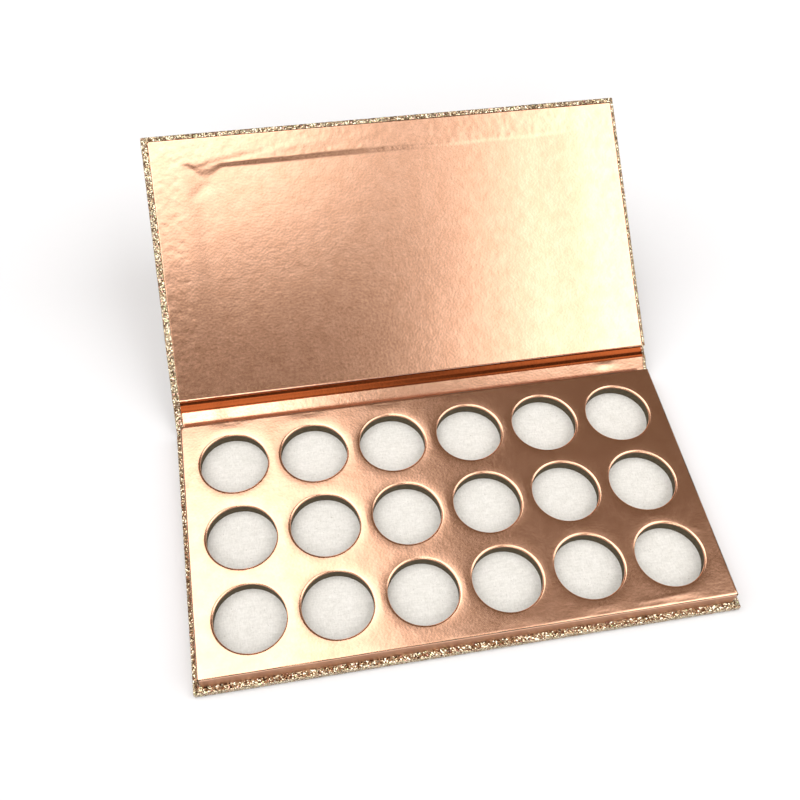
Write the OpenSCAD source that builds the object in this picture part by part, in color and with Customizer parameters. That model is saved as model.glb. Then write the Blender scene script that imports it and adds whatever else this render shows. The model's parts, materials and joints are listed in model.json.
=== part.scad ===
// Book-style cardboard palette for round refill pans.
// A die-cut tray wrapped in metallic foil paper is glued to the base board. One glitter-paper cover
// joins the base, spine and lid boards and folds along two lines. Foil lines the lid, spine and folds.
// X runs along the long side, Y from the front edge to the spine, Z up from the surface it stands on.
// The origin is on the underside, below the middle of the tray.

/* [Pan wells] */
// Diameter of the refill pans
pan_d = 26; // [20:0.5:36]
// Gap all round a pan in its well
pan_gap = 0.25; // [0.1:0.05:0.6]
// Wells along the long side
columns = 6; // [3:1:8]
// Wells along the short side
rows = 3; // [2:1:5]
// Cardboard left between neighbouring wells along X
web_x = 5.4; // [3:0.1:12]
// Cardboard left between neighbouring wells along Y
web_y = 6.5; // [3:0.1:12]
// Depth of a well
well_depth = 4.9; // [3:0.1:9]

/* [Tray] */
// Border from the outer wells to the tray's sides
border_x = 6.9; // [3:0.1:15]
// Border from the outer wells to the tray's front and back
border_y = 7.1; // [5:0.1:15]
// Thickness of the white card that the pans stand on
card_t = 0.45; // [0.3:0.05:1]
// Thickness of the flexible magnetic sheet under the card
magnet_sheet_t = 1; // [0.5:0.1:2]
// Fold radius along the tray's top edges
tray_edge_r = 0.5; // [0.4:0.1:1]

/* [Case] */
// Thickness of the base and lid greyboards
board_t = 2; // [1.5:0.1:3]
// Thickness of the spine greyboard
spine_board_t = 1.2; // [0.6:0.1:2]
// Thickness of the glitter paper
wrap_t = 0.25; // [0.15:0.05:0.5]
// Thickness of the foil paper
foil_t = 0.15; // [0.1:0.05:0.3]
// How far the base stands out past the tray's sides
ledge_x = 2.2; // [0.5:0.1:6]
// How far the base stands out past the tray's front
ledge_front = 2.5; // [0.5:0.1:6]
// How far the closed lid reaches past the base's front
lid_overhang = 1; // [0:0.1:3]
// Width of the glitter paper turned in over the boards
turn_in = 13.5; // [8:0.5:20]
// Bare glitter border around the lining
lining_inset = 2.1; // [1.2:0.1:6]
// How far the lining was laid off centre, towards +X
lining_shift = 0.7; // [0:0.1:1]
// Corner radius of the boards, seen from above
case_corner_r = 1; // [0.6:0.1:3]
// Fold radius of the glitter paper over the board edges
case_edge_r = 0.5; // [0.3:0.1:0.8]

/* [Closure magnets] */
// Length of a bar magnet
magnet_l = 15; // [6:0.5:20]
// Width of a bar magnet
magnet_w = 3.5; // [2:0.1:5]
// Thickness of a bar magnet
magnet_t = 1.2; // [0.5:0.1:1.5]
// Distance from a bar magnet's end to the tray's side
magnet_side = 22; // [5:0.5:40]
// Distance from the tray's front to the magnet
magnet_front = 1; // [0.6:0.1:2.4]

/* [Hinge] */
// Angle of the spine above the surface, 0 when it lies flat
spine_angle = 40; // [0:1:90]
// Angle of the lid above the surface, 0 when it lies flat
lid_angle = 33.5; // [0:0.5:90]
// Gap between the tray's back and the closed spine
spine_gap = 0.2; // [0.1:0.05:0.6]
// Gap between the tray's top and the closed lid
close_gap = 0.2; // [0.1:0.05:0.6]
// Gap left where two boards meet at a closed fold
fold_gap = 0.05; // [0.03:0.01:0.3]

/* [Hidden] */
overcut = 1;        // how far a cut runs past the face it opens
eps = 0.01;         // how far a cut reaches into a space that is already open
pocket_gap = 0.1;   // room around a bar magnet in its pocket
arc_steps = 6;      // flats that stand for a quarter turn of a paper fold
LEFT = -1;
RIGHT = 1;

well_d = pan_d + 2 * pan_gap;
pitch_x = well_d + web_x;
pitch_y = well_d + web_y;
tray_w = (columns - 1) * pitch_x + well_d + 2 * border_x;
tray_d = (rows - 1) * pitch_y + well_d + 2 * border_y;
core_t = well_depth - foil_t;
tray_h = foil_t + magnet_sheet_t + card_t + well_depth;

// Thickness of a covered board, with its turned-in border
case_t = board_t + 2 * wrap_t;
lid_t = case_t + foil_t;
spine_t = spine_board_t + 2 * wrap_t + foil_t;
tray_top = case_t + tray_h;
case_w = tray_w + 2 * ledge_x;

// The fold lines run in the middle of the glitter paper, and the boards stop short of them by half a groove.
fold_z = wrap_t / 2;
half_groove = spine_t + foil_t - fold_z + fold_gap;
fold_y = tray_d / 2 + spine_gap + spine_t - fold_z;
// Distance between the two fold lines
fold_span = tray_top + close_gap + lid_t - 2 * fold_z;
base_front = -tray_d / 2 - ledge_front;
base_back = fold_y - half_groove;
spine_end = fold_span - half_groove;
// Upper fold line to the lid's free edge
lid_end = fold_y - base_front + lid_overhang;

magnet_x = tray_w / 2 - magnet_side - magnet_l / 2;
magnet_y = -tray_d / 2 + magnet_front + magnet_w / 2;

// The lining's zones along X, each [from, to, lift of its underside, lift of its top face]: it lies on the
// turned-in ends of the glitter paper, steps down, and lies on the bare board between them.
lining_from = lining_shift - case_w / 2 + lining_inset;
lining_to = lining_shift + case_w / 2 - lining_inset;
sunk_w = case_w - 2 * turn_in;
lining_zones = [
    [lining_from, -sunk_w / 2, wrap_t, wrap_t],
    [-sunk_w / 2, -sunk_w / 2 + foil_t, 0, wrap_t],
    [-sunk_w / 2 + foil_t, sunk_w / 2 - foil_t, 0, 0],
    [sunk_w / 2 - foil_t, sunk_w / 2, 0, wrap_t],
    [sunk_w / 2, lining_to, wrap_t, wrap_t]
];

// Corners of a quarter turn of radius r around centre c, starting at angle a.
function arc(c, r, a) = [for (i = [0 : arc_steps]) let (b = a + 90 * i / arc_steps) c + r * [cos(b), sin(b)]];

// A slab's section from u0 to u1 and from 0 to t, its corners rounded, or square at u1 if told so.
module slab_section(u0, u1, t, r, square_end = false) {
    end = square_end ? [[u1, 0], [u1, t]] : concat(arc([u1 - r, r], r, -90), arc([u1 - r, t - r], r, 0));
    polygon(concat(end, arc([u0 + r, t - r], r, 90), arc([u0 + r, r], r, 180)));
}

// A plan outline of width w from the free edge y0 to the fold edge y1, with rounded corners at the free edge.
module board_outline(w, y0, y1, r) {
    fold_edge = [[w / 2, y1], [-w / 2, y1]];
    polygon(concat(fold_edge, arc([-w / 2 + r, y0 + r], r, 180), arc([w / 2 - r, y0 + r], r, 270)));
}

module extrude_along_x(x0, x1) {
    translate([x0, 0, 0]) rotate([90, 0, 90]) linear_extrude(x1 - x0) children();
}

module extrude_along_y(y0, y1) {
    translate([0, y1, 0]) rotate([90, 0, 0]) linear_extrude(y1 - y0) children();
}

// A flat stretch of lining from y0 to y1, on a board whose face is at height z.
module lining(y0, y1, z) {
    for (zone = lining_zones) translate([zone[0], y0, z + zone[2]])
        cube([zone[1] - zone[0], y1 - y0, zone[3] - zone[2] + foil_t]);
}

module greyboard(y0, y1, extra = 0) {
    translate([0, 0, wrap_t]) linear_extrude(board_t)
        board_outline(case_w - 2 * wrap_t, y0 + wrap_t, y1 + extra, case_corner_r - wrap_t);
}

// Glitter paper around a board: outer face, three free edges and a border turned in on the inner face.
module case_wrap(y0, y1) {
    difference() {
        intersection() {
            linear_extrude(case_t) board_outline(case_w, y0, y1, case_corner_r);
            extrude_along_y(y0, y1) slab_section(-case_w / 2, case_w / 2, case_t, case_edge_r);
            extrude_along_x(-case_w / 2, case_w / 2)
                slab_section(y0, y1, case_t, case_edge_r, square_end = true);
        }
        greyboard(y0, y1, overcut);
        translate([-sunk_w / 2, y0 + turn_in, case_t - wrap_t - eps]) cube([sunk_w, y1 - y0, overcut]);
    }
}

// Puts at the spine's place what is drawn flat, with the lower fold line along X and the spine towards +Y.
module on_spine() {
    translate([0, fold_y, fold_z]) rotate([spine_angle, 0, 0]) translate([0, 0, -fold_z]) children();
}

// Puts at the lid's place what is drawn flat, with the upper fold line along X and the lid towards +Y.
module on_lid() {
    on_spine() translate([0, fold_span, fold_z]) rotate([lid_angle - spine_angle, 0, 0])
        translate([0, 0, -fold_z]) children();
}

// Turns what is drawn with its free edge towards -Y the other way round.
module free_edge_back() {
    mirror([0, 1, 0]) children();
}

module at_wells() {
    for (i = [0 : columns - 1], j = [0 : rows - 1])
        translate([(i - (columns - 1) / 2) * pitch_x, (j - (rows - 1) / 2) * pitch_y, 0]) children();
}

// A bar magnet with its upper face at z and its middle at x, y. A gap around it makes its pocket, open above.
module bar_magnet(x, y, z, gap = 0) {
    translate([x - magnet_l / 2 - gap, y - magnet_w / 2 - gap, z - magnet_t - gap])
        cube([magnet_l + 2 * gap, magnet_w + 2 * gap, magnet_t + 2 * gap]);
}

module base_board() {
    color("tan") greyboard(base_front, base_back);
}

module base_glitter_wrap() {
    color("darkgoldenrod") case_wrap(base_front, base_back);
}

// The tray's outer form, drawn smaller all round by inset.
module tray_form(inset) {
    w = tray_w / 2 - inset;
    d = tray_d / 2 - inset;
    h = tray_h - 2 * inset;
    r = tray_edge_r - inset;
    translate([0, 0, case_t + inset]) intersection() {
        extrude_along_y(-d, d) slab_section(-w, w, h, r);
        extrude_along_x(-w, w) slab_section(-d, d, h, r);
    }
}

// A layer of the tray inside its foil, from height z.
module tray_layer(z, t) {
    intersection() {
        tray_form(foil_t);
        translate([-tray_w / 2, -tray_d / 2, z]) cube([tray_w, tray_d, t]);
    }
}

module tray_core_board() {
    color("dimgray") difference() {
        tray_layer(tray_top - well_depth, core_t);
        at_wells() translate([0, 0, case_t]) cylinder(d = well_d, h = tray_h, $fn = 96);
        for (side = [LEFT, RIGHT]) bar_magnet(side * magnet_x, magnet_y, tray_top - foil_t, pocket_gap);
    }
}

// Foil paper over the tray's top and sides, turned in underneath, with the wells punched through its top.
module tray_foil_wrap() {
    color("rosybrown") difference() {
        tray_form(0);
        tray_form(foil_t);
        at_wells() translate([0, 0, tray_top - well_depth]) cylinder(d = well_d, h = tray_h, $fn = 96);
        translate([-tray_w / 2 + turn_in, -tray_d / 2 + turn_in, case_t - overcut])
            cube([tray_w - 2 * turn_in, tray_d - 2 * turn_in, 2 * overcut]);
    }
}

module well_floor_card() {
    color("whitesmoke") tray_layer(case_t + foil_t + magnet_sheet_t, card_t);
}

module pan_magnet_sheet() {
    color("darkslategray") tray_layer(case_t + foil_t, magnet_sheet_t);
}

module tray_magnet(side) {
    color("silver") bar_magnet(side * magnet_x, magnet_y, tray_top - foil_t);
}

module spine_board() {
    color("tan") on_spine() translate([-case_w / 2 + wrap_t, half_groove, wrap_t])
        cube([case_w - 2 * wrap_t, spine_end - half_groove, spine_board_t]);
}

// The spine's glitter paper: its outer face and both ends, turned in at the ends.
module spine_glitter_wrap() {
    t = spine_board_t + 2 * wrap_t;
    color("darkgoldenrod") on_spine() difference() {
        extrude_along_y(half_groove, spine_end) slab_section(-case_w / 2, case_w / 2, t, case_edge_r);
        translate([-case_w / 2 + wrap_t, 0, wrap_t]) cube([case_w - 2 * wrap_t, fold_span, spine_board_t]);
        translate([-sunk_w / 2, 0, t - wrap_t - eps]) cube([sunk_w, fold_span, overcut]);
    }
}

module spine_foil_lining() {
    color("rosybrown") on_spine() lining(half_groove, spine_end, wrap_t + spine_board_t);
}

module lid_board() {
    color("tan") on_lid() free_edge_back() difference() {
        greyboard(-lid_end, -half_groove);
        for (side = [LEFT, RIGHT]) lid_bar_magnet(side, pocket_gap);
    }
}

// A bar magnet flush with the lid board's inner face, above its partner in the tray when the lid is shut.
module lid_bar_magnet(side, gap = 0) {
    bar_magnet(side * magnet_x, magnet_y - fold_y, wrap_t + board_t, gap);
}

module lid_magnet(side) {
    color("silver") on_lid() free_edge_back() lid_bar_magnet(side);
}

module lid_glitter_wrap() {
    color("darkgoldenrod") on_lid() free_edge_back() case_wrap(-lid_end, -half_groove);
}

// The lid's lining: its border lies on the turned-in glitter paper and the rest sinks onto the bare board.
module lid_foil_lining() {
    free_edge = lid_end - lining_inset;
    sunk_edge = lid_end - turn_in;
    board_face = wrap_t + board_t;
    color("rosybrown") on_lid() {
        lining(half_groove, sunk_edge, board_face);
        translate([-sunk_w / 2, sunk_edge - foil_t, board_face]) cube([sunk_w, foil_t, wrap_t + foil_t]);
        translate([lining_from, sunk_edge - foil_t, case_t])
            cube([lining_to - lining_from, free_edge - sunk_edge + foil_t, foil_t]);
    }
}

// A point of a folded sheet past its fold line, s along it and n off it. Before the fold it is [-s, n].
function past_fold(bend, s, n) = [s * cos(bend) - n * sin(bend), s * sin(bend) + n * cos(bend)];
// Where the faces at height n before and past the fold meet.
function crease(bend, n) = [-n * tan(bend / 2), n];

// Section of a flat sheet between heights n0 and n1, folded between two board edges.
module folded_sheet(bend, n0, n1) {
    polygon([
        [-half_groove, n0], crease(bend, n0), past_fold(bend, half_groove, n0),
        past_fold(bend, half_groove, n1), crease(bend, n1), [-half_groove, n1]
    ]);
}

// Section of the foil along a groove's bottom and up the boards' edges, to top_a before the fold and
// to top_b past it.
module folded_channel(bend, n0, n1, top_a, top_b) {
    groove = half_groove - foil_t;
    polygon([
        [-half_groove, n0], crease(bend, n0), past_fold(bend, half_groove, n0),
        past_fold(bend, half_groove, top_b), past_fold(bend, groove, top_b), past_fold(bend, groove, n1),
        crease(bend, n1), [-groove, n1], [-groove, top_a], [-half_groove, top_a]
    ]);
}

// Glitter paper across a fold, with its ends turned in on top of itself.
module fold_glitter(bend) {
    extrude_along_x(-sunk_w / 2, sunk_w / 2) folded_sheet(bend, -fold_z, fold_z);
    for (x0 = [-case_w / 2, sunk_w / 2])
        extrude_along_x(x0, x0 + turn_in) folded_sheet(bend, -fold_z, fold_z + wrap_t);
}

// Foil paper across a fold, from edge_a up a board's edge before it to edge_b up a board's edge past it.
module fold_foil(bend, edge_a, edge_b) {
    for (zone = lining_zones) {
        top = fold_z + zone[3];
        extrude_along_x(zone[0], zone[1])
            folded_channel(bend, fold_z + zone[2], top + foil_t, top + edge_a, top + edge_b);
    }
}

module at_lower_fold() {
    translate([0, fold_y, fold_z]) children();
}

module at_upper_fold() {
    on_spine() translate([0, fold_span, fold_z]) children();
}

module lower_fold_glitter_paper() {
    color("darkgoldenrod") at_lower_fold() fold_glitter(spine_angle);
}

module upper_fold_glitter_paper() {
    color("darkgoldenrod") at_upper_fold() fold_glitter(lid_angle - spine_angle);
}

module lower_fold_foil_paper() {
    color("rosybrown") at_lower_fold() fold_foil(spine_angle, board_t, spine_board_t + foil_t);
}

module upper_fold_foil_paper() {
    color("rosybrown") at_upper_fold()
        fold_foil(lid_angle - spine_angle, spine_board_t + foil_t, board_t + foil_t);
}

base_board();
base_glitter_wrap();
tray_core_board();
tray_foil_wrap();
well_floor_card();
pan_magnet_sheet();
tray_magnet(LEFT);  // tray_magnet_left
tray_magnet(RIGHT);  // tray_magnet_right
spine_board();
spine_glitter_wrap();
spine_foil_lining();
lid_board();
lid_glitter_wrap();
lid_foil_lining();
lid_magnet(LEFT);  // lid_magnet_left
lid_magnet(RIGHT);  // lid_magnet_right
lower_fold_glitter_paper();
lower_fold_foil_paper();
upper_fold_glitter_paper();
upper_fold_foil_paper();
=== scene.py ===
"""Looks of an eyeshadow palette: glitter paper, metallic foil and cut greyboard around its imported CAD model.

The mesh code works in millimetres and turns them into metres where a mesh is made.
"""
import json
import math

import bpy
import numpy as np
from mathutils import Matrix, Vector


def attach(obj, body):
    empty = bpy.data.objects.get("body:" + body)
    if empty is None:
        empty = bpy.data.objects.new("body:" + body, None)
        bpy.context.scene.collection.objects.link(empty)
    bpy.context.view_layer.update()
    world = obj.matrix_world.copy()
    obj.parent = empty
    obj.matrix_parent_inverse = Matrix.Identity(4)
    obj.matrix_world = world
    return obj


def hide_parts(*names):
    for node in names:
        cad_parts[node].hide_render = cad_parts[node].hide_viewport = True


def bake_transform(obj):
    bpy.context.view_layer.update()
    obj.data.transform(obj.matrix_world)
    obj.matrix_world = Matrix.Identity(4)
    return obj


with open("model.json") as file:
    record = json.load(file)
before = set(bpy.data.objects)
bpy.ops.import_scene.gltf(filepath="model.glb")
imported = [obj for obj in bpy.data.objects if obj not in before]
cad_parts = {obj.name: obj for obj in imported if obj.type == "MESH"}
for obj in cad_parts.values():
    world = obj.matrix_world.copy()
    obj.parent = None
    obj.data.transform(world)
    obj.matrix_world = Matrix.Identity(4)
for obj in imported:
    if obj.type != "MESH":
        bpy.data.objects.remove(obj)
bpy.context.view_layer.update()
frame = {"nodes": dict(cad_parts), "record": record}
scene = bpy.context.scene
record = frame["record"]

MM = 0.001
FRONT, BACK, LEFT, RIGHT = "front", "back", "left", "right"

# ---------------------------------------------------------------- sizes, in millimetres
foil_t = 0.15            # thickness of the foil paper
turn_in = 13.5           # width of the glitter paper turned in over the boards
shown_turn_in = 9.5      # width of it that is meshed; the rest lies flat under the lining
step_w = 2.0             # width over which the lining steps down from the turned-in paper onto the board
ease_w = 6.5             # the same where it eases down
edge_r = 0.55            # fold radius of the glitter paper over a board's edge
tray_edge_r = 0.75       # fold radius of the foil along the tray's top edges
rim_w = 1.0              # width of the rim that the punch rolled down round a well
rim_drop = 0.55          # how far that rim comes down
foil_lip = 0.45          # how far the foil reaches down the wall below the rim
flake = 0.5              # width of a glitter flake
flake_relief = 0.09      # how far the flakes stand out or lie back
glitter_pitch = 0.62     # mesh spacing over the wide glitter faces
border_pitch = 0.42      # mesh spacing over the glitter borders that show
lining_pitch = 0.62      # mesh spacing of the foil linings
side_points = 28         # mesh points along each side of a well's cell

# Soft ridges in the foil, read off the photo: x and s (y on the tray) of both ends, height, width
lid_ridges = (
    (-90, 96, -45, 103.5, -0.05, 1.1),
    (-62, 101, -20, 105, 0.03, 1.6),
    (-86, 84, -74, 92, -0.05, 2.2),
)
tray_ridges = (
    (86, -14, 97, -12, 0.03, 0.7),
    (88, -22, 98, -26, 0.035, 0.6),
    (84, -38, 97, -31, 0.025, 1.2),
    (58, -50.4, 84, -49.6, 0.045, 0.8),
    (-84, -50.4, -60, -49.8, 0.02, 0.8),
)


# ---------------------------------------------------------------- noise
def lattice(ix, iy, seed):
    """Repeatable random numbers from 0 to 1 at whole-number places."""
    mask = np.int64(0xFFFFFFFF)
    h = (ix * 374761393 + iy * 668265263 + seed * 974634777) & mask
    h = ((h ^ (h >> 13)) * 1274126177) & mask
    h = ((h ^ (h >> 16)) * 668265263) & mask
    return ((h ^ (h >> 15)) & 0xFFFF) / 65535.0


def waves(x, y, size, seed):
    """Smooth noise from -1 to 1 whose bumps are about size apart."""
    gx = np.asarray(x, float) / size
    gy = np.asarray(y, float) / size
    ix = np.floor(gx).astype(np.int64)
    iy = np.floor(gy).astype(np.int64)
    ux = smooth(gx - ix)
    uy = smooth(gy - iy)
    low = lattice(ix, iy, seed) * (1 - ux) + lattice(ix + 1, iy, seed) * ux
    high = lattice(ix, iy + 1, seed) * (1 - ux) + lattice(ix + 1, iy + 1, seed) * ux
    return 2 * (low * (1 - uy) + high * uy) - 1


def smooth(t):
    """Eases from 0 to 1 as t does."""
    t = np.clip(t, 0, 1)
    return t * t * (3 - 2 * t)


# ---------------------------------------------------------------- places, from the frame
joints = {joint["name"]: joint for joint in record["behaviour"]["joints"]}


def node_points(node):
    """A CAD node's corners in millimetres."""
    vertices = frame["nodes"][node].data.vertices
    points = np.empty(len(vertices) * 3)
    vertices.foreach_get("co", points)
    return points.reshape(-1, 3) / MM


def board_angle(node):
    """Angle of a flat board above the table, from its largest face."""
    face = max(frame["nodes"][node].data.polygons, key=lambda polygon: polygon.area)
    up = face.normal if face.normal.z > 0 else -face.normal
    return math.atan2(-up.y, up.z)


class Board:
    """A board's own frame: x along its fold line, s away from the line, h above its outer paper face."""

    def __init__(self, joint, angle):
        self.y, self.z = (value / MM for value in joints[joint]["pos_m"][1:])
        self.cos = math.cos(angle)
        self.sin = math.sin(angle)

    def place(self, x, s, h):
        x, s, n = np.broadcast_arrays(x, s, np.asarray(h, float) - fold_z)
        y = self.y + s * self.cos - n * self.sin
        z = self.z + s * self.sin + n * self.cos
        return np.stack([x, y, z], -1)

    def extent(self, node):
        """Lowest and highest x, s and h of a CAD node."""
        points = node_points(node)
        y = points[:, 1] - self.y
        z = points[:, 2] - self.z
        along = y * self.cos + z * self.sin
        above = z * self.cos - y * self.sin + fold_z
        local = np.stack([points[:, 0], along, above], -1)
        return local.min(0), local.max(0)


fold_z = joints["spine_fold"]["pos_m"][2] / MM
BASE = Board("spine_fold", 0)
SPINE = Board("spine_fold", board_angle("spine_board"))
LID = Board("lid_fold", board_angle("lid_board"))

wrap_t = BASE.extent("base_board")[0][2]
cover_w = BASE.extent("base_glitter_wrap")[1][0]
half_groove = LID.extent("lid_board")[0][1]
groove_wall = half_groove - foil_t
fold_span = math.hypot(LID.y - SPINE.y, LID.z - SPINE.z)
spine_end = fold_span - half_groove
spine_top = SPINE.extent("spine_foil_lining")[0][2] + foil_t
lid_top = LID.extent("lid_foil_lining")[0][2] + foil_t
base_top = BASE.extent("base_board")[1][2]
lining_lo, lining_hi = LID.extent("lid_foil_lining")
lining_x = np.linspace(lining_lo[0], lining_hi[0], round((lining_hi[0] - lining_lo[0]) / lining_pitch) + 1)
tray_lo = node_points("tray_foil_wrap").min(0)
tray_hi = node_points("tray_foil_wrap").max(0)
well_floor = node_points("well_floor_card").max(0)[2]
well_mounts = [mount for mount in record["mounts"] if mount["kind"] == "bore"]
wells = sorted((mount["pos_m"][0] / MM, mount["pos_m"][1] / MM) for mount in well_mounts)
well_r = well_mounts[0]["dims"]["r_mm"]
columns = len({round(x, 3) for x, _ in wells})
rows = len(wells) // columns
cell_x = (wells[-1][0] - wells[0][0]) / (columns - 1) / 2
cell_y = (wells[-1][1] - wells[0][1]) / (rows - 1) / 2


# ---------------------------------------------------------------- meshes
class Sheet:
    """A mesh made of grids of points, joined where they meet. Its UVs are millimetres of paper."""

    def __init__(self):
        self.points = []
        self.papers = []
        self.quads = []
        self.count = 0

    def add(self, grid, paper, facing, keep=None):
        """Adds a grid of points, its faces turned towards facing, without the faces where keep is False."""
        rows_n, columns_n = grid.shape[:2]
        index = self.count + np.arange(rows_n * columns_n).reshape(rows_n, columns_n)
        quads = np.stack([index[:-1, :-1], index[:-1, 1:], index[1:, 1:], index[1:, :-1]], -1)
        along = grid[:-1, 1:] - grid[:-1, :-1]
        across = grid[1:, :-1] - grid[:-1, :-1]
        turned = np.cross(along, across).sum((0, 1)) @ np.asarray(facing, float)
        if turned < 0:
            quads = quads[..., ::-1]
        quads = quads.reshape(-1, 4) if keep is None else quads[keep]
        self.points.append(grid.reshape(-1, 3))
        self.papers.append(np.stack(np.broadcast_arrays(*paper), -1).reshape(-1, 2))
        self.quads.append(quads)
        self.count += rows_n * columns_n

    def build(self, name, material, relief=None):
        """Makes the object. relief(points, normals, paper) is how far each point moves along its normal."""
        points = np.concatenate(self.points)
        paper = np.concatenate(self.papers)
        quads = np.concatenate(self.quads)
        _, first, joined = np.unique(np.round(points, 4), axis=0, return_index=True, return_inverse=True)
        corners = joined.ravel()[quads]
        points = points[first]
        whole = np.ones(len(corners), bool)
        for a in range(4):
            for b in range(a):
                whole &= corners[:, a] != corners[:, b]
        corners = corners[whole]
        corner_paper = paper[quads[whole]]
        used, corners = np.unique(corners, return_inverse=True)
        corners = corners.reshape(-1, 4)
        points = points[used]
        if relief:
            normals = vertex_normals(points, corners)
            points = points + normals * relief(points, normals, paper[first][used])[:, None]
        mesh = bpy.data.meshes.new(name)
        mesh.from_pydata(points * MM, [], corners)
        layer = mesh.uv_layers.new(name="paper")
        layer.data.foreach_set("uv", corner_paper.astype(np.float32).ravel())
        mesh.polygons.foreach_set("use_smooth", [True] * len(mesh.polygons))
        mesh.materials.append(material)
        mesh.update()
        piece = bpy.data.objects.new(name, mesh)
        scene.collection.objects.link(piece)
        return piece


def vertex_normals(points, corners):
    """Unit normals at the points of a mesh of four-cornered faces."""
    first, second, third, fourth = (points[corners[:, corner]] for corner in range(4))
    face = np.cross(third - first, fourth - second)
    normals = np.zeros_like(points)
    for corner in range(4):
        np.add.at(normals, corners[:, corner], face)
    return normals / np.maximum(np.linalg.norm(normals, axis=1, keepdims=True), 1e-9)


def with_skirt(grid, drop, sides, inward):
    """Turns the named sides of a grid down by drop, against the direction inward points away from."""
    lowered = np.asarray(inward, float) * drop
    if FRONT in sides:
        grid = np.concatenate([grid[:1] + lowered, grid])
    if BACK in sides:
        grid = np.concatenate([grid, grid[-1:] + lowered])
    if LEFT in sides:
        grid = np.concatenate([grid[:, :1] + lowered, grid], 1)
    if RIGHT in sides:
        grid = np.concatenate([grid, grid[:, -1:] + lowered], 1)
    return grid


def path_lines(lo, hi, pitch, fold_lo, fold_hi):
    """Grid lines from lo to hi: close together over a folded edge and its border, pitch apart elsewhere."""
    fold = edge_r * np.array([0, 0.3, 0.62, 1.0])
    border = edge_r + border_pitch * np.arange(1, 8)
    ends = np.concatenate([fold, border])
    start = lo + ends if fold_lo else np.array([lo])
    stop = hi - ends[::-1] if fold_hi else np.array([hi])
    count = max(2, round((stop[0] - start[-1]) / pitch) + 1)
    middle = np.linspace(start[-1], stop[0], count)
    return np.concatenate([start[:-1], middle, stop[1:]])


def rounded(points, lo, hi, radius):
    """Moves points on the faces of the box from lo to hi onto its rounded edges."""
    inner = np.clip(points, lo + radius, hi - radius)
    out = points - inner
    length = np.maximum(np.linalg.norm(out, axis=-1, keepdims=True), 1e-9)
    return np.where(length > 1e-6, inner + out * radius / length, points)


# ---------------------------------------------------------------- glitter paper
def flakes(points, normals, paper):
    """Relief of glitter flakes at random heights."""
    u, v = paper[:, 0], paper[:, 1]
    return flake_relief * (0.7 * waves(u, v, flake, 3) + 0.3 * waves(u, v, 3 * flake, 4))


def glitter_cover(name, board, lo, hi, free_lo, free_hi, paper_s):
    """Glitter paper round a board: its outer face, its edges, and the border turned in on its inner face.

    paper_s is what is added to s to give the place along the whole cover.
    """
    sheet = Sheet()
    far = 100 * edge_r
    box_lo = np.array([lo[0], lo[1] if free_lo else lo[1] - far, lo[2]])
    box_hi = np.array([hi[0], hi[1] if free_hi else hi[1] + far, hi[2]])
    xs = path_lines(lo[0], hi[0], glitter_pitch, True, True)
    ss = path_lines(lo[1], hi[1], glitter_pitch, free_lo, free_hi)
    rise = edge_r * np.array([0, 0.3, 0.62, 1.0])
    straight = np.linspace(lo[2] + edge_r, hi[2] - edge_r, 4)
    hs = np.concatenate([lo[2] + rise[:-1], straight, hi[2] - rise[-2::-1]])

    def face(x, s, h, u, v, facing, keep=None):
        x, s, h = np.broadcast_arrays(x, s, h)
        local = rounded(np.stack([x, s, h], -1), box_lo, box_hi, edge_r)
        grid = board.place(local[..., 0], local[..., 1], local[..., 2])
        origin = board.place(0, 0, 0)
        sheet.add(grid, (u, v + paper_s), board.place(*facing) - origin, keep)

    across, along = xs[:, None], ss[None, :]
    face(across, along, lo[2], across, along, (0, 0, -1))
    from_edge = np.minimum(xs - lo[0], hi[0] - xs)[:, None] + 0 * along
    if free_lo:
        from_edge = np.minimum(from_edge, along - lo[1])
    if free_hi:
        from_edge = np.minimum(from_edge, hi[1] - along)
    border = (from_edge[:-1, :-1] < shown_turn_in) & (from_edge[1:, 1:] < shown_turn_in)
    face(across, along, hi[2], across, along + 2 * cover_w, (0, 0, 1), border)
    for edge, sign in ((lo[0], -1), (hi[0], 1)):
        u = edge + sign * (hs[:, None] - lo[2])
        face(edge, along, hs[:, None], u, along, (sign, 0, 0))
    for edge, sign, free in ((lo[1], -1, free_lo), (hi[1], 1, free_hi)):
        if free:
            v = edge + sign * (hs[:, None] - lo[2])
            face(xs[None, :], edge, hs[:, None], xs[None, :], v, (0, sign, 0))
    return sheet.build(name, glitter, flakes)


def bent_line(before, after, reach, lead, turn_points=9):
    """Points of a sheet's middle through a fold, which is round within lead of its line and straight beyond.

    before and after are the boards on its two sides, each with the s of the fold line on it.
    """
    (board_a, line_a), (board_b, line_b) = before, after

    def at(board, s):
        return board.place(0, s, fold_z)[1:]

    start, crease, end = at(board_a, line_a - lead), at(board_a, line_a), at(board_b, line_b + lead)
    t = np.linspace(0, 1, turn_points)[:, None]
    turn = (1 - t) ** 2 * start + 2 * t * (1 - t) * crease + t ** 2 * end
    straight = np.linspace(0, 1, 4)[:-1, None]
    first = at(board_a, line_a - reach)
    last = at(board_b, line_b + reach)
    before_turn = first + straight * (start - first)
    after_turn = end + straight[1:] * (last - end)
    return np.concatenate([before_turn, turn, after_turn, last[None]])


def offset_line(line, distance):
    """A line moved sideways, to the side that faces up from a sheet lying flat."""
    direction = np.gradient(line, axis=0)
    direction /= np.linalg.norm(direction, axis=1, keepdims=True)
    return line + distance * np.stack([-direction[:, 1], direction[:, 0]], -1)


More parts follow.
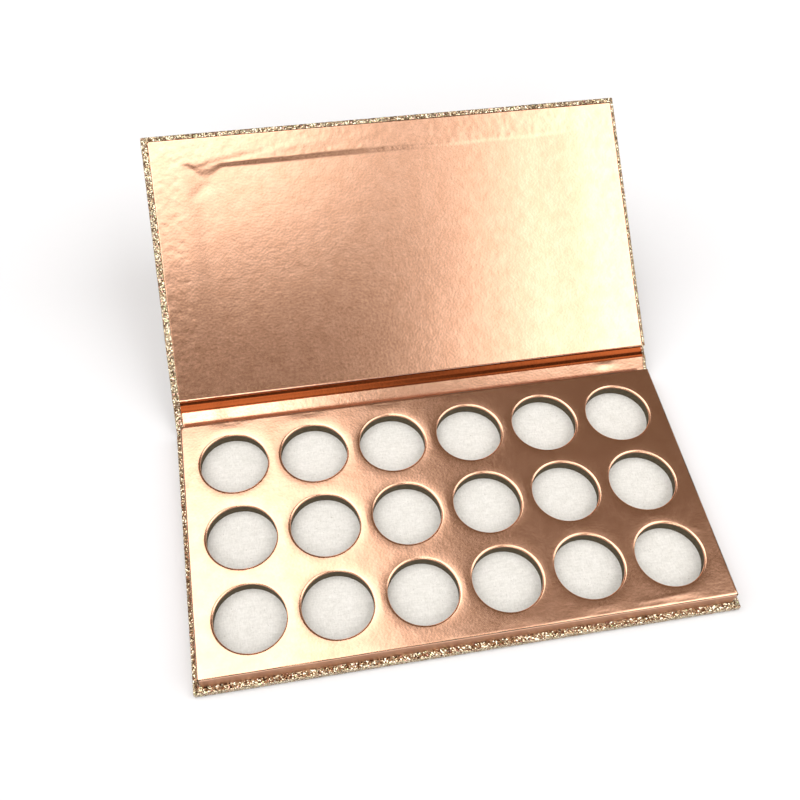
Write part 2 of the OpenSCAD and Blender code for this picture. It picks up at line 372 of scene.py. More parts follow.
def glitter_fold(name, before, after, paper_at):
    """Glitter paper across a fold, doubled where its ends are turned in."""
    line = bent_line(before, after, half_groove, 1.1)
    run = np.concatenate([[0], np.cumsum(np.linalg.norm(np.diff(line, axis=0), axis=1))])
    v = paper_at - half_groove + run * 2 * half_groove / run[-1]
    xs = path_lines(-cover_w, cover_w, glitter_pitch, True, True)
    doubled = smooth((np.abs(xs) - (cover_w - turn_in)) / 0.5 + 0.5)
    outer = offset_line(line, -fold_z)
    inner = offset_line(line, fold_z)
    lifted = offset_line(line, fold_z + wrap_t)
    into_edge = np.maximum(np.abs(xs) - cover_w + edge_r, 0)
    end_inset = edge_r - np.sqrt(np.maximum(edge_r ** 2 - into_edge ** 2, 0))
    tuck = np.minimum(end_inset / edge_r, 1)[:, None, None]
    low = np.broadcast_to(outer, (len(xs), *outer.shape))
    high = inner + doubled[:, None, None] * (lifted - inner)
    middle = (low + high) / 2
    sheet = Sheet()
    for side, facing in ((low, (0, 0, -1)), (high, (0, 0, 1))):
        section = side + tuck * (middle - side)
        grid = np.concatenate([np.broadcast_to(xs[:, None, None], (len(xs), len(line), 1)), section], -1)
        shift = 0 if facing[2] < 0 else 2 * cover_w
        sheet.add(grid, (xs[:, None], v[None, :] + shift), facing)
    piece = sheet.build(name, glitter, flakes)
    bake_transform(piece)
    return piece


# ---------------------------------------------------------------- foil paper
def flap_lift(x):
    """How far the lining is lifted at x by the glitter paper turned in under it."""
    wander = 0.5 * waves(x, 0 * x, 17, 21)
    inside = cover_w - turn_in - np.abs(x) - wander
    return wrap_t * smooth(1 - inside / np.where(x > 0, 4 * ease_w, 1.5 * ease_w))


def foil_relief(points, normals, paper):
    """Unevenness of foil paper: long waves, and bumps where glitter paper is turned in beneath."""
    x, v = paper[:, 0], paper[:, 1]
    lid_s = v - fold_span
    flap = np.maximum(np.abs(x) - (cover_w - turn_in), lid_s - (lining_hi[1] - turn_in + 2)) / step_w
    over_flap = smooth(flap + 0.5)
    long_waves = 0.05 * waves(x, v, 31, 5) + 0.008 * waves(x, v, 9, 6)
    grain = 0.004 * waves(x, v, 1.3, 7)
    bumps = 0.012 * waves(x, v, 2.6, 8) + 0.014 * waves(x, v, 1.35, 9)
    calm = smooth((lid_s - half_groove) / 6)
    return grain + (long_waves + bumps * over_flap) * calm


def ridges(x, y, lines):
    """Height of soft ridges, each given as its two ends, its height and its width."""
    height = np.zeros_like(x)
    for x0, y0, x1, y1, rise, width in lines:
        length = math.hypot(x1 - x0, y1 - y0)
        along = ((x - x0) * (x1 - x0) + (y - y0) * (y1 - y0)) / length
        off = ((x - x0) * (y1 - y0) - (y - y0) * (x1 - x0)) / length
        ends = smooth(along / (0.3 * length)) * smooth((length - along) / (0.3 * length))
        height = height + rise * ends * np.exp(-(off / width) ** 2)
    return height


def lid_lining():
    """The lid's foil, which dips off the turned-in paper onto the bare board."""
    s0 = half_groove + 0.7
    s1 = lining_hi[1]
    ss = np.linspace(s0, s1, round((s1 - s0) / lining_pitch) + 1)
    x, s = np.meshgrid(lining_x, ss)
    sides = flap_lift(x)
    wander = 0.5 * waves(x, 0 * x, 23, 31)
    sunk_edge = lining_hi[1] + lining_lo[0] + cover_w - turn_in
    crisp = smooth((x - lining_lo[0] - 22) / 8) + np.exp(-((x - lining_lo[0] - 14.5) / 3) ** 2)
    width = ease_w + (step_w - ease_w) * np.clip(crisp, 0, 1)
    top = wrap_t * smooth((s + wander - sunk_edge) / width + 1)
    height = lid_top + np.maximum(sides, top) + ridges(x, s, lid_ridges)
    grid = LID.place(x, s, height)
    down = LID.place(0, 0, -1) - LID.place(0, 0, 0)
    grid = with_skirt(grid, foil_t + 0.15, (BACK, LEFT, RIGHT), down)
    x = np.pad(x, ((0, 1), (1, 1)), mode="edge")
    s = np.pad(s, ((0, 1), (1, 1)), mode="edge")
    sheet = Sheet()
    sheet.add(grid, (x, s + fold_span), -down)
    piece = sheet.build("lid_lining", foil, foil_relief)
    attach(piece, "lid")
    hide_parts("lid_foil_lining")


def spine_lining():
    """The spine's foil, lightly dented near its right end."""
    s0 = half_groove + 0.7
    s1 = spine_end - 0.7
    ss = np.linspace(s0, s1, 13)
    x, s = np.meshgrid(lining_x, ss)
    dent = 0.12 * np.exp(-((x - 83) / 4) ** 2) * np.exp(-((s - s1 + 1.5) / 1.6) ** 2)
    grid = SPINE.place(x, s, spine_top + flap_lift(x) - dent)
    down = SPINE.place(0, 0, -1) - SPINE.place(0, 0, 0)
    grid = with_skirt(grid, foil_t + 0.15, (LEFT, RIGHT), down)
    sheet = Sheet()
    ends = ((0, 0), (1, 1))
    sheet.add(grid, (np.pad(x, ends, mode="edge"), np.pad(s, ends, mode="edge")), -down)
    piece = sheet.build("spine_lining", foil, foil_relief)
    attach(piece, "spine")
    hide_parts("spine_foil_lining")


def filleted(corners, radii, fillet_points=7, straight_points=4):
    """A line through corners, each rounded by its radius. corners is [corner][x][y or z]."""
    parts = []
    start = corners[0]
    for before, corner, after, radius in zip(corners, corners[1:], corners[2:], radii):
        into = (corner - before) / np.linalg.norm(corner - before, axis=-1, keepdims=True)
        out = (after - corner) / np.linalg.norm(after - corner, axis=-1, keepdims=True)
        tangent_in = corner - into * radius
        tangent_out = corner + out * radius
        for t in np.linspace(0, 1, straight_points)[:-1]:
            parts.append(start + t * (tangent_in - start))
        for t in np.linspace(0, 1, fillet_points)[:-1]:
            parts.append((1 - t) ** 2 * tangent_in + 2 * t * (1 - t) * corner + t ** 2 * tangent_out)
        start = tangent_out
    for t in np.linspace(0, 1, straight_points):
        parts.append(start + t * (corners[-1] - start))
    return np.array(parts)


def foil_fold(name, material, corners, radii, reach, paper_ends):
    """Foil along a groove's bottom and up over its edges. corners are functions of the lift at each x."""
    lift = flap_lift(lining_x)
    line = filleted(np.array([corner(lift)[..., 1:] for corner in corners]), radii)
    step = np.linalg.norm(np.diff(line.mean(1), axis=0), axis=1)
    run = np.concatenate([[0], np.cumsum(step)])
    v = paper_ends[0] + run * (paper_ends[1] - paper_ends[0]) / run[-1]
    xs = np.broadcast_to(lining_x, line.shape[:2])
    grid = np.concatenate([xs[..., None], line], -1)
    sheet = Sheet()
    sheet.add(grid, (xs, v[:, None]), (0, 0, 1))
    piece = sheet.build(name, material, foil_relief)
    start, end = (tuple(board.place(0, s, fold_z) * MM) for board, s in reach)
    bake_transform(piece)
    return piece


def lower_fold():
    """The fold between base and spine."""
    angle = math.atan2(SPINE.sin, SPINE.cos)
    groove_h = wrap_t + foil_t

    def crease(lift):
        n = groove_h - fold_z + lift
        return BASE.place(0 * lift, -n * math.tan(angle / 2), groove_h + lift)

    corners = (
        lambda lift: BASE.place(0 * lift, -groove_wall, base_top + lift),
        lambda lift: BASE.place(0 * lift, -groove_wall, groove_h + lift),
        crease,
        lambda lift: SPINE.place(0 * lift, groove_wall, groove_h + lift),
        lambda lift: SPINE.place(0 * lift, groove_wall, spine_top + lift),
        lambda lift: SPINE.place(0 * lift, half_groove + 0.7, spine_top + lift),
    )
    reach = ((BASE, -1.0), (SPINE, 1.0))
    piece = foil_fold("lower_fold_foil", foil, corners, (0.35, 0.5, 0.35, 0.45), reach,
                      (-half_groove, half_groove + 0.7))
    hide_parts("lower_fold_foil_paper")
    piece = glitter_fold("lower_fold_glitter", (BASE, 0), (SPINE, 0), 0)
    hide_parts("lower_fold_glitter_paper")


def upper_fold():
    """The fold between spine and lid."""
    groove_h = wrap_t + foil_t
    wall = fold_span - groove_wall
    corners = (
        lambda lift: SPINE.place(0 * lift, spine_end - 0.7, spine_top + lift),
        lambda lift: SPINE.place(0 * lift, wall, spine_top + lift),
        lambda lift: SPINE.place(0 * lift, fold_span, groove_h + lift),
        lambda lift: LID.place(0 * lift, groove_wall, groove_h + lift),
        lambda lift: LID.place(0 * lift, groove_wall, lid_top + lift),
        lambda lift: LID.place(0 * lift, half_groove + 0.7, lid_top + lift),
    )
    reach = ((SPINE, fold_span - 1.2), (LID, 1.2))
    # This foil's material carries painted shade: its colour is darkened to copper in the groove beside the
    # lid.
    piece = foil_fold("upper_fold_foil", groove_foil_painted_shade, corners, (0.3, 0.5, 0.35, 0.7), reach,
                      (spine_end - 0.7, fold_span + half_groove + 0.7))
    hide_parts("upper_fold_foil_paper")
    piece = glitter_fold("upper_fold_glitter", (SPINE, fold_span), (LID, 0), fold_span)
    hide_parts("upper_fold_glitter_paper")


# ---------------------------------------------------------------- tray
def cell_border():
    """Points round a well's cell, side_points to a side, from its front left corner."""
    t = np.linspace(-1, 1, side_points + 1)[:-1]
    one = np.ones_like(t)
    xs = np.concatenate([t, one, -t, -one]) * cell_x
    ys = np.concatenate([-one, t, one, -t]) * cell_y
    return np.stack([np.append(xs, xs[0]), np.append(ys, ys[0])], -1)


def tray_border(half_w, half_d, z):
    """Points round a rectangle at height z, each level with one round the outer cells."""
    tx = np.linspace(-1, 1, side_points * columns + 1)[:-1]
    ty = np.linspace(-1, 1, side_points * rows + 1)[:-1]
    xs = np.concatenate([tx, np.ones_like(ty), -tx, -np.ones_like(ty)]) * half_w
    ys = np.concatenate([-np.ones_like(tx), ty, np.ones_like(tx), -ty]) * half_d
    ring = np.stack([xs, ys, np.full_like(xs, z)], -1)
    return np.concatenate([ring, ring[:1]])


def add_cells(sheet, z, inner_rings, facing):
    """Adds every well's cell at height z, from its border in to rings of (radius, height, wall run)."""
    border = cell_border()
    direction = border / np.linalg.norm(border, axis=1, keepdims=True)
    first_r = inner_rings[0][0]
    for x, y in wells:
        grid, runs = [], []
        for t in np.linspace(0, 1, 7)[:-1]:
            ring = border * (1 - t) + direction * first_r * t
            grid.append(np.column_stack([ring + (x, y), np.full(len(ring), z)]))
            runs.append(0)
        for radius, height, run in inner_rings:
            grid.append(np.column_stack([direction * radius + (x, y), np.full(len(ring), height)]))
            runs.append(run)
        grid = np.array(grid)
        inward = direction[None] * np.array(runs)[:, None, None]
        paper = grid[..., :2] - inward
        sheet.add(grid, (paper[..., 0], paper[..., 1]), facing)


def rim_rings(z, drop_below):
    """Rings that round a well's rim over a quarter turn and then go drop_below further down."""
    rings = []
    for a in np.linspace(0, math.pi / 2, 10):
        radius = well_r + 0.04 + rim_w * (1 - math.sin(a))
        rings.append((radius, z - rim_drop * (1 - math.cos(a)), rim_w * 0.5 * a))
    low = z - rim_drop
    for depth in np.linspace(0, drop_below, 5)[1:]:
        rings.append((well_r + 0.04, low - depth, rim_w + depth))
    return rings


def tray_relief(points, normals, paper):
    """Unevenness of the foil over the tray: long waves, fine grain, ridges, and a dip towards each well."""
    x, y = paper[:, 0], paper[:, 1]
    relief = 0.03 * waves(x, y, 26, 41) + 0.008 * waves(x, y, 8, 42) + 0.006 * waves(x, y, 2.4, 43)
    from_centre_x = np.abs((points[:, 0] + columns * cell_x) % (2 * cell_x) - cell_x)
    from_centre_y = np.abs((points[:, 1] + rows * cell_y) % (2 * cell_y) - cell_y)
    off_rim = np.hypot(from_centre_x, from_centre_y) - well_r - rim_w
    dished = 0.08 * np.exp(-np.maximum(off_rim, 0) / 1.5)
    relief += (ridges(x, y, tray_ridges) - dished) * np.clip(normals[:, 2], 0, 1) ** 4
    rough_lip = 0.05 * waves(points[:, 0], points[:, 1], 0.9, 44)
    on_wall = (points[:, 2] < tray_hi[2] - rim_drop) & (np.abs(normals[:, 2]) < 0.5)
    return np.where(on_wall, np.abs(rough_lip), relief)


def tray_foil():
    """Foil over the tray: rolled down into the wells, folded over the edges and down the sides."""
    sheet = Sheet()
    top = tray_hi[2]
    add_cells(sheet, top, rim_rings(top, foil_lip), (0, 0, 1))
    half_w, half_d = tray_hi[0], tray_hi[1]
    grid = []
    papers = []
    for t in np.linspace(0, 1, 8):
        w = columns * cell_x + t * (half_w - tray_edge_r - columns * cell_x)
        d = rows * cell_y + t * (half_d - tray_edge_r - rows * cell_y)
        grid.append(tray_border(w, d, top))
        papers.append(grid[-1][:, :2])
    for t in np.array([0.35, 0.7, 1.0]) * tray_edge_r:
        grid.append(tray_border(half_w - tray_edge_r + t, half_d - tray_edge_r + t, top))
        papers.append(grid[-1][:, :2])
    round_zs = top - tray_edge_r * np.array([0.3, 0.65, 1.0])
    wall_zs = np.linspace(top - 1.3, tray_lo[2], 6)
    for z in np.concatenate([round_zs, wall_zs]):
        grid.append(tray_border(half_w, half_d, z))
        papers.append(tray_border(half_w + top - z, half_d + top - z, 0)[:, :2])
    lo = np.array([-half_w, -half_d, tray_lo[2] - 9])
    grid = rounded(np.array(grid), lo, tray_hi, tray_edge_r)
    papers = np.array(papers)
    for corner in range(4):
        sides = (columns, rows, columns, rows)
        a = side_points * sum(sides[:corner])
        b = a + side_points * sides[corner]
        facing = ((0, -1, 1), (1, 0, 1), (0, 1, 1), (-1, 0, 1))[corner]
        sheet.add(grid[:, a:b + 1], (papers[:, a:b + 1, 0], papers[:, a:b + 1, 1]), facing)
    # Its material paints shade on the upright faces by darkening their colour.
    piece = sheet.build("tray_foil", tray_foil_paper, tray_relief)
    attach(piece, "base")
    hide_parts("tray_foil_wrap")


def wall_relief(points, normals, paper):
    """Cut greyboard round the wells: layers torn a little, and fibres."""
    on_wall = (points[:, 2] < tray_hi[2] - rim_drop) & (np.abs(normals[:, 2]) < 0.5)
    angle_run = np.where(np.abs(paper[:, 0]) > 0, paper[:, 0] * 1.7 + paper[:, 1] * 2.3, 0)
    torn = 0.05 * waves(angle_run, points[:, 2], 0.45, 51)
    layered = 0.03 * waves(angle_run, points[:, 2] * 4, 1.6, 52)
    return np.where(on_wall, -np.abs(torn + layered), 0)


def tray_board():
    """The tray's greyboard core: under the foil, with the walls of the wells, whose greyboard colour is
    darkened as painted shade.
    """
    sheet = Sheet()
    top = tray_hi[2] - foil_t
    rings = [(radius, height, run) for radius, height, run in rim_rings(top, 0.1)]
    low = rings[-1][1]
    for t in np.linspace(0, 1, 12)[1:]:
        rings.append((well_r + 0.05, low + t * (well_floor - low), rim_w + t * (low - well_floor)))
    add_cells(sheet, top, rings, (0, 0, 1))
    half_w, half_d = tray_hi[0] - foil_t, tray_hi[1] - foil_t
    grid = [tray_border(columns * cell_x, rows * cell_y, top)]
    for z in (top, (top + well_floor) / 2, well_floor):
        grid.append(tray_border(half_w, half_d, z))
    grid.append(tray_border(half_w - 3, half_d - 3, well_floor))
    grid = np.array(grid)
    for corner in range(4):
        sides = (columns, rows, columns, rows)
        a = side_points * sum(sides[:corner])
        b = a + side_points * sides[corner]
        facing = ((0, -1, 1), (1, 0, 1), (0, 1, 1), (-1, 0, 1))[corner]
        sheet.add(grid[:, a:b + 1], (grid[:, a:b + 1, 0], grid[:, a:b + 1, 1]), facing)
    # The wells' walls use greyboard darkened far below the other boards: painted shade inside the wells.
    piece = sheet.build("tray_board", well_wall_board_painted_shade, wall_relief)
    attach(piece, "base")
    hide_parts("tray_core_board")


# ---------------------------------------------------------------- materials
def new_material(name):
    material = bpy.data.materials.new(name)
    material.use_nodes = True
    tree = material.node_tree
    return material, tree, tree.nodes["Principled BSDF"]


def put(socket, value):
    """Links a socket to a socket, or sets its value."""
    if isinstance(value, bpy.types.NodeSocket):
        socket.id_data.links.new(value, socket)
    else:
        socket.default_value = value


def add(tree, kind, inputs=(), **settings):
    """Adds a node with its settings and its inputs, given as (name or number, value) pairs."""
    node = tree.nodes.new("ShaderNode" + kind)
    for name, value in settings.items():
        setattr(node, name, value)
    for name, value in inputs:
        put(node.inputs[name], value)
    return node


def paper_mm(tree):
    """Paper coordinates of a piece made here, in millimetres."""
    return add(tree, "TexCoord").outputs["UV"]


def solid_mm(tree):
    """Coordinates inside a CAD node, in millimetres."""
    place = add(tree, "TexCoord").outputs["Object"]
    return add(tree, "VectorMath", [(0, place), ("Scale", 1 / MM)], operation="SCALE").outputs["Vector"]


def noise(tree, place, size, detail=2.0, roughness=0.5, stretch=(1, 1, 1)):
    """Noise from 0 to 1 with bumps about size millimetres apart."""
    spread = add(tree, "VectorMath", [(0, place), (1, stretch)], operation="MULTIPLY").outputs["Vector"]
    inputs = [("Vector", spread), ("Scale", 1 / size), ("Detail", detail), ("Roughness", roughness)]
    return add(tree, "TexNoise", inputs).outputs["Fac"]


def mapped(tree, value, low, high, to_low, to_high):
    """A value stretched from one range to another."""
    ends = [("From Min", low), ("From Max", high), ("To Min", to_low), ("To Max", to_high)]
    return add(tree, "MapRange", [("Value", value)] + ends).outputs["Result"]


def ramp(tree, value, stops, interpolation="LINEAR"):
    """Colours along a ramp, given as (place, (red, green, blue)) pairs."""
    node = add(tree, "ValToRGB", [("Fac", value)])
    node.color_ramp.interpolation = interpolation
    elements = node.color_ramp.elements
    while len(elements) < len(stops):
        elements.new(0.5)
    for element, (position, colour) in zip(elements, stops):
        element.position = position
        element.color = (*colour, 1)
    return node.outputs["Color"]


def bump(tree, height, distance_mm, strength=1.0, normal=None):
    """A bump of that height in millimetres."""
    inputs = [("Height", height), ("Distance", distance_mm * MM), ("Strength", strength)]
    if normal is not None:
        inputs.append(("Normal", normal))
    return add(tree, "Bump", inputs).outputs["Normal"]


def foil_material(name, rougher_walls_painted_shade=False, painted_groove_shade=False):
    """Rose gold metallic foil on paper, with a fine orange-peel texture.

    On upright faces it is rougher, and its colour is darkened there as painted shade. In the groove beside the
    lid its colour is darkened to a saturated dark copper, as painted shade and painted copper interreflection.
    """
    material, tree, shader = new_material(name)
    place = paper_mm(tree)
    colour = ramp(tree, noise(tree, place, 6, 3), [(0.35, (0.87, 0.50, 0.33)), (0.65, (0.93, 0.55, 0.375))])
    rough = mapped(tree, noise(tree, place, 1.1, 3), 0.3, 0.7, 0.17, 0.22)
    # On upright faces the foil is made rougher, and its colour is darkened towards a copper brown: painted
    # shade on the tray's sides and the wells' lips.
    if rougher_walls_painted_shade:
        facing = add(tree, "SeparateXYZ", [(0, add(tree, "NewGeometry").outputs["Normal"])])
        upright = mapped(tree, facing.outputs["Z"], 0.1, 0.4, 1, 0)
        more = add(tree, "Math", [(0, upright), (1, 0.25)], operation="MULTIPLY").outputs["Value"]
        rough = add(tree, "Math", [(0, rough), (1, more)], operation="ADD").outputs["Value"]
        painted_wall_shade = [("Factor", upright), (6, colour), (7, (0.50, 0.27, 0.175, 1))]
        colour = add(tree, "Mix", painted_wall_shade, data_type="RGBA").outputs[2]
    # Painted shade and painted interreflection: in the groove beside the lid the foil's colour is mixed
    # towards a dark saturated copper.
    if painted_groove_shade:
        along = add(tree, "SeparateXYZ", [(0, place)]).outputs["Y"]
        groove_shade_weight = mapped(tree, along, fold_span + 0.9, fold_span + 1.4, 1, 0)
        darker = [("Factor", groove_shade_weight), (6, colour), (7, (0.24, 0.055, 0.015, 1))]
        colour = add(tree, "Mix", darker, data_type="RGBA").outputs[2]
    put(shader.inputs["Base Color"], colour)
    put(shader.inputs["Metallic"], 1.0)
    put(shader.inputs["Roughness"], rough)
    peel = bump(tree, noise(tree, place, 0.95, 0.5, 0.5), 0.013)
    put(shader.inputs["Normal"], bump(tree, noise(tree, place, 3.6, 1), 0.018, 1.0, peel))
    return material


def glitter_material():
    """Coarse champagne and rose gold glitter: flakes of several colours lying at all angles in dark glue."""
    material, tree, shader = new_material("glitter_paper")
    place = paper_mm(tree)
    cell_inputs = [("Vector", place), ("Scale", 1 / flake), ("Randomness", 1.0)]
    cells = add(tree, "TexVoronoi", cell_inputs, voronoi_dimensions="2D")
    gaps = add(tree, "TexVoronoi", cell_inputs, voronoi_dimensions="2D", feature="DISTANCE_TO_EDGE")
    pick = add(tree, "SeparateColor", [("Color", cells.outputs["Color"])])
    colours = ramp(tree, pick.outputs["Red"], [
        (0.0, (0.17, 0.10, 0.05)),
        (0.12, (0.56, 0.41, 0.25)),
        (0.34, (0.88, 0.74, 0.50)),
        (0.58, (0.99, 0.91, 0.69)),
        (0.90, (0.68, 0.76, 0.42)),
        (0.94, (0.93, 0.55, 0.46)),
    ], "CONSTANT")
    in_gap = mapped(tree, gaps.outputs["Distance"], 0.04, 0.2, 0.0, 1.0)
    glue = (0.16, 0.085, 0.05, 1)
    colour = add(tree, "Mix", [("Factor", in_gap), (6, glue), (7, colours)], data_type="RGBA").outputs[2]
    put(shader.inputs["Base Color"], colour)
    put(shader.inputs["Metallic"], 1.0)
    put(shader.inputs["Roughness"], mapped(tree, in_gap, 0, 1, 0.7, 0.2))
    tilt = add(tree, "VectorMath", [(0, cells.outputs["Color"]), (1, (0.5, 0.5, 0.5))], operation="SUBTRACT")
    lean = add(tree, "VectorMath", [(0, tilt.outputs["Vector"]), ("Scale", 1.1)], operation="SCALE")
    surface = add(tree, "NewGeometry").outputs["Normal"]
    leaned = add(tree, "VectorMath", [(0, surface), (1, lean.outputs["Vector"])], operation="ADD")
    normal = add(tree, "VectorMath", [(0, leaned.outputs["Vector"])], operation="NORMALIZE").outputs["Vector"]
    put(shader.inputs["Normal"], normal)
    return material


def board_material(name, light, dark, place_of, layers):
    """Greyboard: pressed grey fibres with darker specks, in thin layers where it is cut."""
    material, tree, shader = new_material(name)
    place = place_of(tree)
    fibres = noise(tree, place, 0.5, 4, 0.65, (0.35, 1, 1 + layers))
    specks = noise(tree, place, 0.3, 2, 0.5)
    tone = ramp(tree, fibres, [(0.3, dark), (0.7, light)])
    speckled = ramp(tree, specks, [(0.24, (0.35, 0.33, 0.28)), (0.36, (1, 1, 1))])
    inputs = [("Factor", 1.0), (6, tone), (7, speckled)]
    mixed = add(tree, "Mix", inputs, data_type="RGBA", blend_type="MULTIPLY")
    put(shader.inputs["Base Color"], mixed.outputs[2])
    put(shader.inputs["Roughness"], mapped(tree, fibres, 0.3, 0.7, 0.85, 0.97))
    put(shader.inputs["Specular IOR Level"], 0.25)
    put(shader.inputs["Normal"], bump(tree, fibres, 0.12))
    return material


def card_material():
    """Warm light grey card, with fine fibres and faint specks."""
    material, tree, shader = new_material("white_card")
    place = solid_mm(tree)
    cloud = noise(tree, place, 5.0, 3, 0.6)
    fibres = noise(tree, place, 0.9, 4, 0.7, (0.4, 1.3, 1))
    crossed = noise(tree, place, 0.8, 4, 0.7, (1.4, 0.45, 1))
    woven = add(tree, "Math", [(0, fibres), (1, crossed)], operation="ADD").outputs["Value"]
    weave = mapped(tree, woven, 0.7, 1.3, 0, 1)
    tone = ramp(tree, weave, [(0.0, (0.61, 0.60, 0.565)), (1.0, (0.80, 0.79, 0.755))])
    soft = ramp(tree, cloud, [(0.3, (0.95, 0.95, 0.94)), (0.7, (1, 1, 1))])
    specks = ramp(tree, noise(tree, place, 0.55, 2, 0.5), [(0.22, (0.62, 0.60, 0.56)), (0.33, (1, 1, 1))])
    toned = add(tree, "Mix", [("Factor", 1.0), (6, tone), (7, soft)], data_type="RGBA", blend_type="MULTIPLY")
    inputs = [("Factor", 1.0), (6, toned.outputs[2]), (7, specks)]
    colour = add(tree, "Mix", inputs, data_type="RGBA", blend_type="MULTIPLY").outputs[2]
    put(shader.inputs["Base Color"], colour)
    put(shader.inputs["Roughness"], mapped(tree, woven, 0.7, 1.3, 0.8, 0.95))
    put(shader.inputs["Normal"], bump(tree, woven, 0.06))
    return material


def magnet_sheet_material():
    """Dark brown flexible magnet, faintly ribbed."""
    material, tree, shader = new_material("magnet_sheet")
    place = solid_mm(tree)
    ribs = add(tree, "TexWave", [("Vector", place), ("Scale", 0.35), ("Distortion", 0.6)]).outputs["Fac"]
    put(shader.inputs["Base Color"], ramp(tree, ribs, [(0, (0.055, 0.045, 0.04)), (1, (0.085, 0.07, 0.062))]))
    put(shader.inputs["Roughness"], mapped(tree, noise(tree, place, 0.8, 3), 0.3, 0.7, 0.5, 0.7))
    put(shader.inputs["Normal"], bump(tree, ribs, 0.05))
    return material


def magnet_material():
    """Nickel plate with fine tumbling marks."""
    material, tree, shader = new_material("magnet")
    place = solid_mm(tree)
    put(shader.inputs["Base Color"], ramp(tree, noise(tree, place, 1.5, 3), [
        (0.3, (0.62, 0.61, 0.60)), (0.7, (0.76, 0.75, 0.73))]))
    put(shader.inputs["Metallic"], 1.0)
    put(shader.inputs["Roughness"], mapped(tree, noise(tree, place, 0.4, 4), 0.3, 0.7, 0.22, 0.4))
    put(shader.inputs["Normal"], bump(tree, noise(tree, place, 0.3, 3), 0.01))
    return material


def dress(material, *nodes):
    """Gives CAD nodes a material."""
    for node in nodes:
        slots = frame["nodes"][node].material_slots
        for slot in slots:
            slot.material = material


foil = foil_material("foil_paper")
# Tray foil: rougher on upright faces, where its colour is also darkened as painted shade.
tray_foil_paper = foil_material("tray_foil", rougher_walls_painted_shade=True)
# Foil whose colour is darkened in the groove beside the lid: painted shade and painted interreflection.
groove_foil_painted_shade = foil_material("groove_foil_painted_shade", painted_groove_shade=True)
glitter = glitter_material()
# The same greyboard with its colour darkened to about a quarter, as painted shade on the walls inside the
# wells.
well_wall_board_painted_shade = board_material("greyboard_dark", (0.13, 0.105, 0.066), (0.05, 0.04, 0.025), paper_mm, 0)
grey_board = board_material("greyboard", (0.52, 0.48, 0.42), (0.36, 0.33, 0.28), solid_mm, 4)
dress(grey_board, "base_board", "spine_board", "lid_board")
dress(card_material(), "well_floor_card")
dress(magnet_sheet_material(), "pan_magnet_sheet")
dress(magnet_material(), "tray_magnet_left", "tray_magnet_right", "lid_magnet_left", "lid_magnet_right")

# ---------------------------------------------------------------- pieces
covers = (
    ("base_glitter", BASE, "base_glitter_wrap", "base", True, False, 0),
    ("spine_glitter", SPINE, "spine_glitter_wrap", "spine", False, False, 0),
    ("lid_glitter", LID, "lid_glitter_wrap", "lid", False, True, fold_span),
)
for cover_name, cover_board, cad_node, body, cover_free_lo, cover_free_hi, cover_s in covers:
    cover_lo, cover_hi = cover_board.extent(cad_node)
    cover = glitter_cover(cover_name, cover_board, cover_lo, cover_hi, cover_free_lo, cover_free_hi, cover_s)
    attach(cover, body)
    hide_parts(cad_node)
lid_lining()
spine_lining()
lower_fold()
upper_fold()
tray_foil()
tray_board()

# ---------------------------------------------------------------- floor, light and camera
floor_half = 4.0
bpy.ops.mesh.primitive_plane_add(size=2 * floor_half, location=(0, 0, -0.0004))
floor = bpy.context.object
floor.name = "floor"
floor_material, _, floor_shader = new_material("floor")
put(floor_shader.inputs["Base Color"], (0.76, 0.77, 0.79, 1))
put(floor_shader.inputs["Roughness"], 0.9)
put(floor_shader.inputs["Specular IOR Level"], 0.1)
floor.data.materials.append(floor_material)

# The light is a dim room with soft boxes overhead and in front, all far away. A box's edges are given as the
# slopes (sideways or back, for one metre up) of the directions in which they lie.
world = bpy.data.worlds.new("studio")
scene.world = world
world.use_nodes = True
sky = world.node_tree
sky.nodes.clear()
direction = add(sky, "SeparateXYZ", [(0, add(sky, "TexCoord").outputs["Generated"])])
height = add(sky, "Math", [(0, direction.outputs["Z"]), (1, 0.02)], operation="MAXIMUM").outputs["Value"]
slope_right, slope_back = (
    add(sky, "Math", [(0, direction.outputs[axis]), (1, height)], operation="DIVIDE").outputs["Value"]
    for axis in ("X", "Y")
)


def times(first, second):
    return add(sky, "Math", [(0, first), (1, second)], operation="MULTIPLY").outputs["Value"]


def plus(first, second):
    return add(sky, "Math", [(0, first), (1, second)], operation="ADD").outputs["Value"]


def between(value, low, high, edge):
    """1 between low and high, falling to 0 over twice edge at each."""
    risen = [("Value", value), ("From Min", low - edge), ("From Max", low + edge)]
    fallen = [("Value", value), ("From Min", high + edge), ("From Max", high - edge)]
    rise, fall = (add(sky, "MapRange", ends, interpolation_type="SMOOTHSTEP") for ends in (risen, fallen))
    return times(rise.outputs["Result"], fall.outputs["Result"])


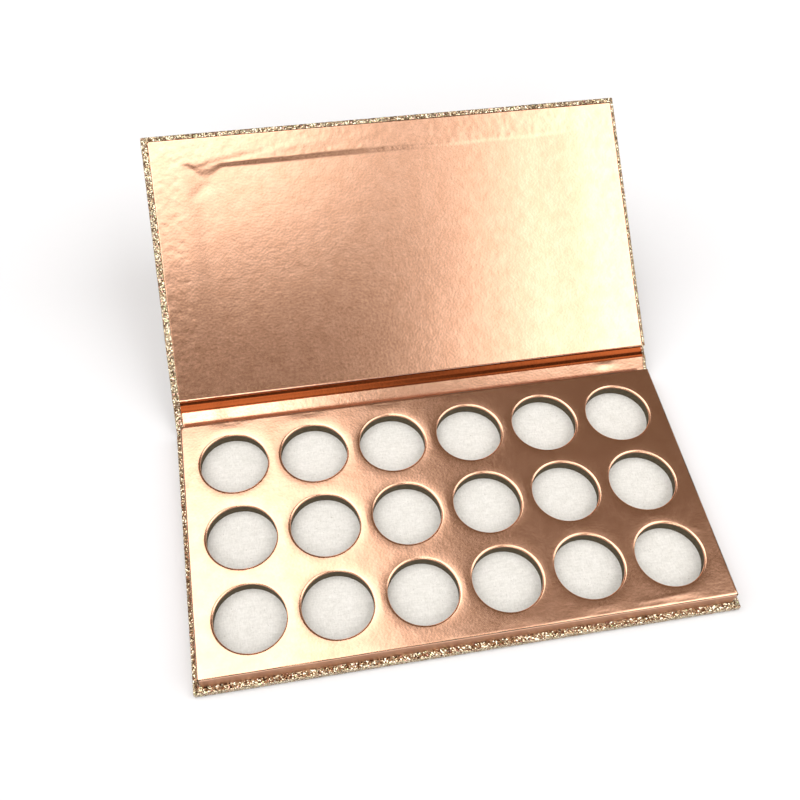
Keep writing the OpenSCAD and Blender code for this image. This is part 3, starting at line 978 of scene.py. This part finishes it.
def soft_box(left, right, front, back, brightness, edge):
    across = between(slope_right, left, right, edge)
    along = between(slope_back, front, back, edge)
    return times(times(across, along), brightness)


overhead = soft_box(-2.0, 0.1, -0.39, 0.7, 2.5, 0.11)
right_front = soft_box(0.29, 2.2, -0.97, 0.25, 2.7, 0.17)
low_front = soft_box(-0.9, 0.07, -2.5, -0.92, 4.0, 0.05)
horizon = add(sky, "MapRange", [("Value", direction.outputs["Z"]), ("From Min", 0.45), ("From Max", 0.1)],
              interpolation_type="SMOOTHSTEP").outputs["Result"]
boxes = plus(plus(overhead, right_front), plus(low_front, times(horizon, 0.6)))


def background(colour, strength):
    return add(sky, "Background", [("Color", (*colour, 1)), ("Strength", strength)]).outputs["Background"]


white = (1, 1, 1)
room_light = background((1.0, 0.72, 0.5), 0.16)
box_light = background(white, boxes)
lit = add(sky, "AddShader", [(0, room_light), (1, box_light)]).outputs["Shader"]
backdrop = background(white, 1.0)
seen = add(sky, "LightPath").outputs["Is Camera Ray"]
shown = add(sky, "MixShader", [(0, seen), (1, lit), (2, backdrop)]).outputs["Shader"]
add(sky, "OutputWorld", [("Surface", shown)])
scene.view_settings.view_transform = "Standard"

camera_azimuth, camera_elevation, camera_roll = 13.6, 54.7, 4.02    # degrees
camera_distance = 0.4249
camera_aim = Vector((-0.0077, 0.05915, 0))
az, el, roll = (math.radians(angle) for angle in (camera_azimuth, camera_elevation, camera_roll))
forward = Vector((math.sin(az) * math.cos(el), math.cos(az) * math.cos(el), -math.sin(el)))
level = Vector((math.cos(az), -math.sin(az), 0))
upright = level.cross(forward)
right = math.cos(roll) * level + math.sin(roll) * upright
up = right.cross(forward)
camera_data = bpy.data.cameras.new("camera")
camera_data.lens = 44.6
camera_data.sensor_width = 36
camera_data.clip_start = 0.01
camera = bpy.data.objects.new("camera", camera_data)
camera.matrix_world = Matrix.Translation(camera_aim - forward * camera_distance) @ Matrix(
    (right, up, -forward)).transposed().to_4x4()
scene.collection.objects.link(camera)
scene.camera = camera
